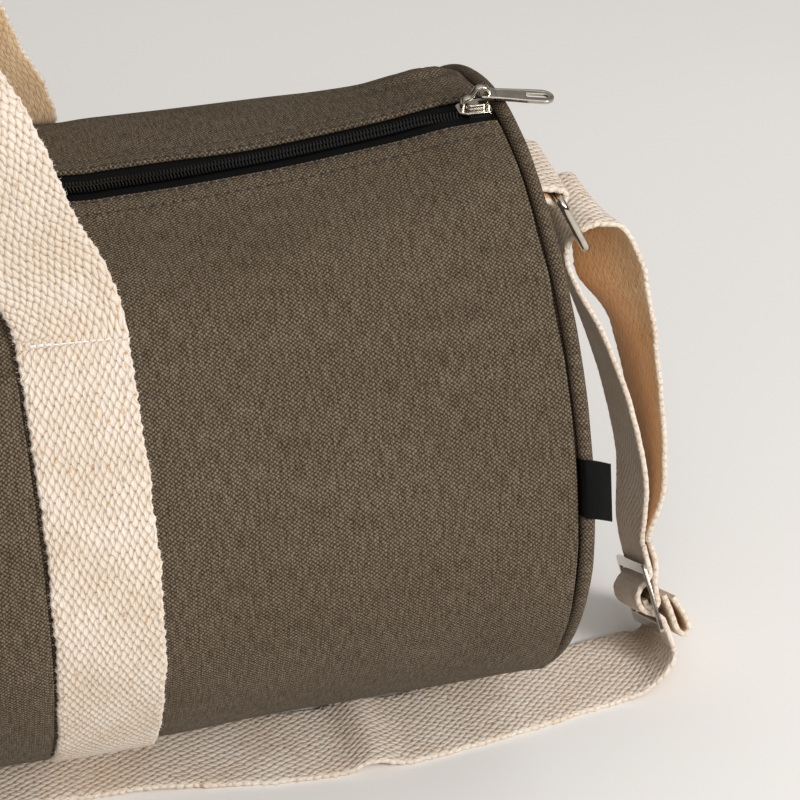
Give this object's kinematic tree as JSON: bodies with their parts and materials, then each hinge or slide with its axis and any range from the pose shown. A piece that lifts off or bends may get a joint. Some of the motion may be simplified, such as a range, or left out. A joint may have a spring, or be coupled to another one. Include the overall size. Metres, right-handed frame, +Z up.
{
  "type": "gym bag",
  "caption": "Round canvas duffel with webbing carry handles, a long top zip and an adjustable shoulder strap.",
  "frame": {"origin": "middle of the footprint on the floor, bag standing with its zip up", "axes": "+X along the bag towards the end where the closed zip's slider is, -Y the front with the pocket, +Z up"},
  "size_m": [0.6467, 0.2614, 0.3799],
  "materials": {
    "canvas": "heavy plain-weave cotton canvas, olive brown, matt",
    "piping": "the same canvas over a cord",
    "binding": "canvas seam tape",
    "webbing": "undyed cotton webbing, coarse weave, matt",
    "label": "black woven tape, bare",
    "zip_tape": "black woven zip tape",
    "zip_teeth": "black nylon",
    "nickel": "bright nickel plate"
  },
  "bodies": {
    "bag": {"body_panel": "canvas", "end_panel_left": "canvas", "end_panel_right": "canvas", "front_pocket": "canvas", "piping_left": "piping", "piping_right": "piping", "seam_binding_left": "binding", "seam_binding_right": "binding", "handle_webbing_left": "webbing", "handle_webbing_right": "webbing", "side_label": "label", "strap_tab_left": "webbing", "strap_tab_right": "webbing"},
    "front_flap": {"front_lip": "canvas", "zip_tape_front": "zip_tape", "zip_teeth_front": "zip_teeth"},
    "back_flap": {"back_lip": "canvas", "zip_tape_back": "zip_tape", "zip_teeth_back": "zip_teeth"},
    "slider": {"zip_slider": "nickel"},
    "puller": {"zip_puller": "nickel"},
    "front_handle": {"handle_front": "webbing"},
    "back_handle": {"handle_back": "webbing"},
    "shoulder_strap": {"strap_webbing": "webbing", "strap_ring_left": "nickel", "strap_ring_right": "nickel", "strap_adjuster": "nickel"}
  },
  "joints": [
    {"name": "zip_slide", "type": "slide", "parent": "bag", "child": "slider", "axis": [1, 0, 0], "range_m": [-0.466, 0], "deforming": ["zip_tape_front", "zip_tape_back", "zip_teeth_front", "zip_teeth_back"]},
    {"name": "puller_swing", "type": "hinge", "parent": "slider", "child": "puller", "pos_m": [0.2423, 0, 0.258], "axis": [0, -1, 0], "range_deg": [0, 170]},
    {"name": "mouth_front", "type": "hinge", "parent": "bag", "child": "front_flap", "pos_m": [0, -0.06232, 0.22947], "axis": [1, 0, 0], "range_deg": [0, 50]},
    {"name": "mouth_back", "type": "hinge", "parent": "bag", "child": "back_flap", "pos_m": [0, 0.06232, 0.22947], "axis": [1, 0, 0], "range_deg": [-50, 0]},
    {"name": "handle_front_swing", "type": "hinge", "parent": "bag", "child": "front_handle", "pos_m": [0, -0.07722, 0.22237], "axis": [1, 0, 0], "range_deg": [-6, 120]},
    {"name": "handle_back_swing", "type": "hinge", "parent": "bag", "child": "back_handle", "pos_m": [0, 0.07722, 0.22237], "axis": [1, 0, 0], "range_deg": [-120, 6]},
    {"name": "strap_swing", "type": "hinge", "parent": "bag", "child": "shoulder_strap", "pos_m": [0, 0, 0.219], "axis": [-1, 0, 0], "range_deg": [0, 185], "deforming": ["strap_tab_left", "strap_tab_right"]}
  ],
  "couplings": [
    {"joint": "mouth_front", "follows": "zip_slide", "rad_per_m": -1.8726},
    {"joint": "mouth_back", "follows": "zip_slide", "rad_per_m": 1.8726}
  ]
}
